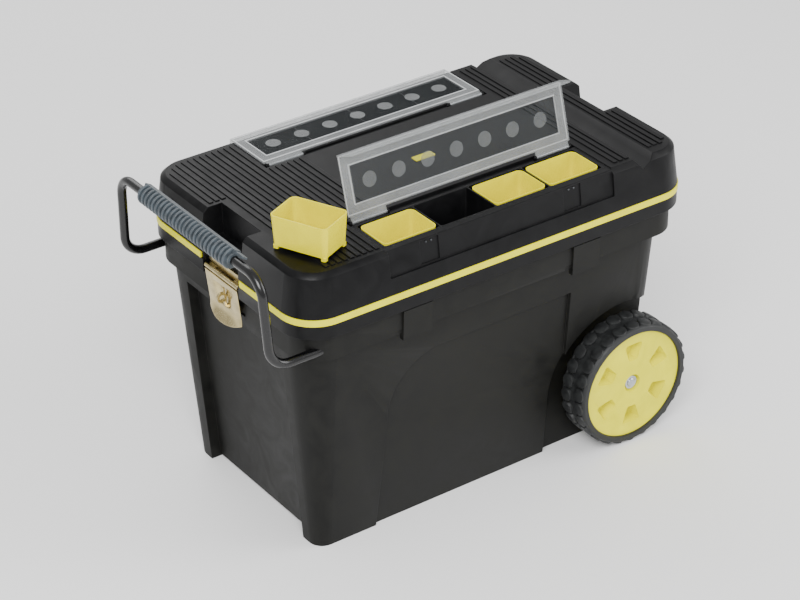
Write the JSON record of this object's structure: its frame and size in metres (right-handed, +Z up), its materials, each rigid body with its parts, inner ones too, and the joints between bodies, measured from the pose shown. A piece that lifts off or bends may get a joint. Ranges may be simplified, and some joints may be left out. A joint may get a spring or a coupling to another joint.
{
  "type": "wheeled tool chest",
  "caption": "Wheeled carpenter's tool chest: tub, hinged lid with two organisers and lift-out bins, saw groove, toggle latch, pull-out handle, two wheels.",
  "frame": {"origin": "middle of the overall box on the floor", "axes": "+X from the pull handle to the wheels, +Y to the back long side, +Z up"},
  "size_m": [0.6542, 0.375, 0.51],
  "materials": {
    "body_black": "moulded structural foam, fine grain",
    "lid_black": "moulded structural foam, fine grain",
    "trim_yellow": "smooth moulded",
    "bin_yellow": "smooth moulded",
    "hub_yellow": "smooth moulded",
    "tyre": "matt rubber-like plastic",
    "clear_cover": "clear polycarbonate with a frosted frame",
    "painted_tube": "gloss black steel tube",
    "grip_grey": "soft ribbed grip",
    "steel": "zinc plated",
    "latch_metal": "warm nickel plate"
  },
  "bodies": {
    "chest": {"tub": "body_black", "collar": "body_black", "latch_strike": "latch_metal", "axle": "steel", "push_caps": "steel", "chest_hinge_front": "steel", "chest_hinge_back": "steel", "hinge_pins": "steel"},
    "handle": {"handle_frame": "painted_tube", "grip": "grip_grey", "rod_stops": "body_black"},
    "lid": {"lid_shell": "lid_black", "lid_hinge_front": "steel", "lid_hinge_back": "steel", "band_front": "trim_yellow", "band_back": "trim_yellow", "tray_front": "lid_black", "tray_back": "lid_black", "cover_pins": "steel", "cover_lugs": "lid_black", "badge": "trim_yellow", "latch_keeper": "latch_metal", "latch_pin": "steel"},
    "latch": {"latch_plate": "latch_metal", "padlock_eye": "latch_metal"},
    "front_cover": {"front_cover": "clear_cover"},
    "back_cover": {"back_cover": "clear_cover"},
    "bin_left": {"bin_left": "bin_yellow"},
    "bin_middle": {"bin_middle": "bin_yellow"},
    "bin_right": {"bin_right": "bin_yellow"},
    "bin_loose": {"bin_loose": "bin_yellow"},
    "wheel_front": {"tyre_front": "tyre", "hub_front": "hub_yellow"},
    "wheel_back": {"tyre_back": "tyre", "hub_back": "hub_yellow"},
    "tote": {"tote_tray": "lid_black", "tote_handle": "lid_black"}
  },
  "joints": [
    {"name": "lid_hinge", "type": "hinge", "parent": "chest", "child": "lid", "pos_m": [0.3205, 0, 0.331], "axis": [0, 1, 0], "range_deg": [0, 100]},
    {"name": "latch_hinge", "type": "hinge", "parent": "lid", "child": "latch", "pos_m": [-0.2705, 0, 0.344], "axis": [0, 1, 0], "range_deg": [0, 110]},
    {"name": "handle_slide", "type": "slide", "parent": "chest", "child": "handle", "axis": [-1, 0, 0], "range_m": [0, 0.36]},
    {"name": "front_cover_hinge", "type": "hinge", "parent": "lid", "child": "front_cover", "pos_m": [0.0265, -0.0915, 0.4162], "axis": [-1, 0, 0], "range_deg": [-105.5, 0]},
    {"name": "back_cover_hinge", "type": "hinge", "parent": "lid", "child": "back_cover", "pos_m": [0.0265, 0.0915, 0.4162], "axis": [1, 0, 0], "range_deg": [0, 105.5]},
    {"name": "bin_left_lift", "type": "slide", "parent": "lid", "child": "bin_left", "axis": [0, 0, 1], "range_m": [0, 0.06]},
    {"name": "bin_middle_lift", "type": "slide", "parent": "lid", "child": "bin_middle", "axis": [0, 0, 1], "range_m": [0, 0.06]},
    {"name": "bin_right_lift", "type": "slide", "parent": "lid", "child": "bin_right", "axis": [0, 0, 1], "range_m": [0, 0.06]},
    {"name": "bin_loose_lift", "type": "slide", "parent": "lid", "child": "bin_loose", "axis": [0, 0, 1], "range_m": [0, 0.06]},
    {"name": "wheel_front_spin", "type": "hinge", "parent": "chest", "child": "wheel_front", "pos_m": [0.2382, 0, 0.089], "axis": [0, 1, 0], "continuous": true},
    {"name": "wheel_back_spin", "type": "hinge", "parent": "chest", "child": "wheel_back", "pos_m": [0.2382, 0, 0.089], "axis": [0, 1, 0], "continuous": true},
    {"name": "tote_slide", "type": "slide", "parent": "chest", "child": "tote", "axis": [1, 0, 0], "range_m": [0, 0.16]}
  ]
}
